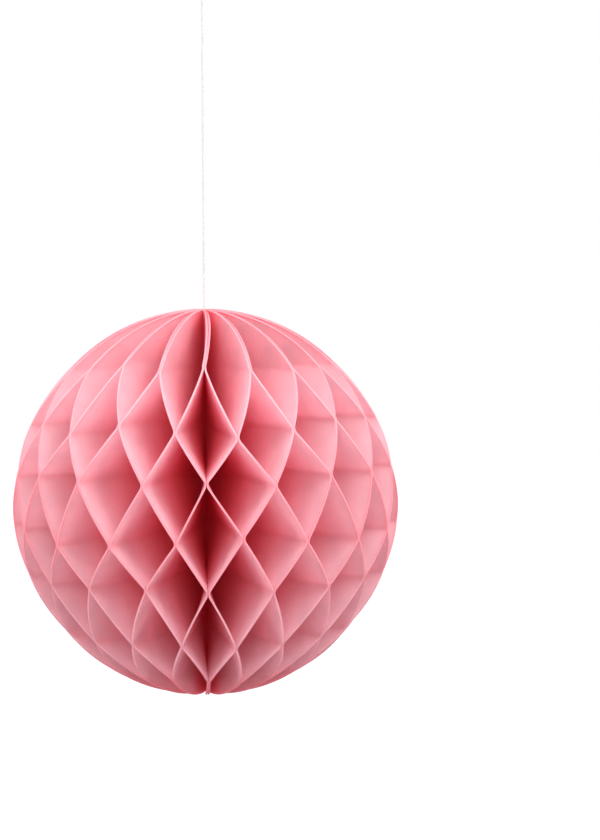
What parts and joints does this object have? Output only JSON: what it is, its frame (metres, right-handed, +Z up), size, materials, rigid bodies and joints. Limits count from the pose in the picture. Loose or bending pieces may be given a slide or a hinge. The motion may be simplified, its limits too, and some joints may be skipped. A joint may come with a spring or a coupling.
{
  "type": "honeycomb paper ball",
  "caption": "Hanging tissue paper ball whose glued half-round leaves open into diamond cells round a spine, with cover cards at the back and a string with a tied loop.",
  "frame": {"origin": "middle of the ball, on the spine, halfway between its tips", "axes": "+Z up along the spine to the string's loop, +Y to the back, where the two cover cards meet"},
  "size_m": [0.1998, 0.1995, 0.3886],
  "materials": {
    "pink_tissue": "thin matt tissue paper, coral pink, light shows through it",
    "pink_card": "smooth thin card, coral pink",
    "clear_adhesive": "milky double-sided tape",
    "white_cotton": "thin twisted white cotton string"
  },
  "bodies": {
    "root": {"leaf_01": "pink_tissue", "leaf_02": "pink_tissue", "leaf_03": "pink_tissue", "leaf_04": "pink_tissue", "leaf_05": "pink_tissue", "leaf_06": "pink_tissue", "leaf_07": "pink_tissue", "leaf_08": "pink_tissue", "leaf_09": "pink_tissue", "leaf_10": "pink_tissue", "leaf_11": "pink_tissue", "leaf_12": "pink_tissue", "leaf_13": "pink_tissue", "leaf_14": "pink_tissue", "leaf_15": "pink_tissue", "leaf_16": "pink_tissue", "leaf_17": "pink_tissue", "leaf_18": "pink_tissue", "leaf_19": "pink_tissue", "leaf_20": "pink_tissue", "leaf_21": "pink_tissue", "leaf_22": "pink_tissue", "leaf_23": "pink_tissue", "leaf_24": "pink_tissue", "leaf_25": "pink_tissue", "leaf_26": "pink_tissue", "leaf_27": "pink_tissue", "leaf_28": "pink_tissue", "leaf_29": "pink_tissue", "leaf_30": "pink_tissue", "leaf_31": "pink_tissue", "leaf_32": "pink_tissue", "leaf_33": "pink_tissue", "leaf_34": "pink_tissue", "leaf_35": "pink_tissue", "leaf_36": "pink_tissue", "leaf_37": "pink_tissue", "leaf_38": "pink_tissue", "cover_card_left": "pink_card", "cover_card_right": "pink_card", "upper_adhesive_strip": "clear_adhesive", "lower_adhesive_strip": "clear_adhesive", "hanging_string": "white_cotton", "anchor_knot": "white_cotton", "loop_knot": "white_cotton", "hanging_loop": "white_cotton"}
  },
  "joints": []
}
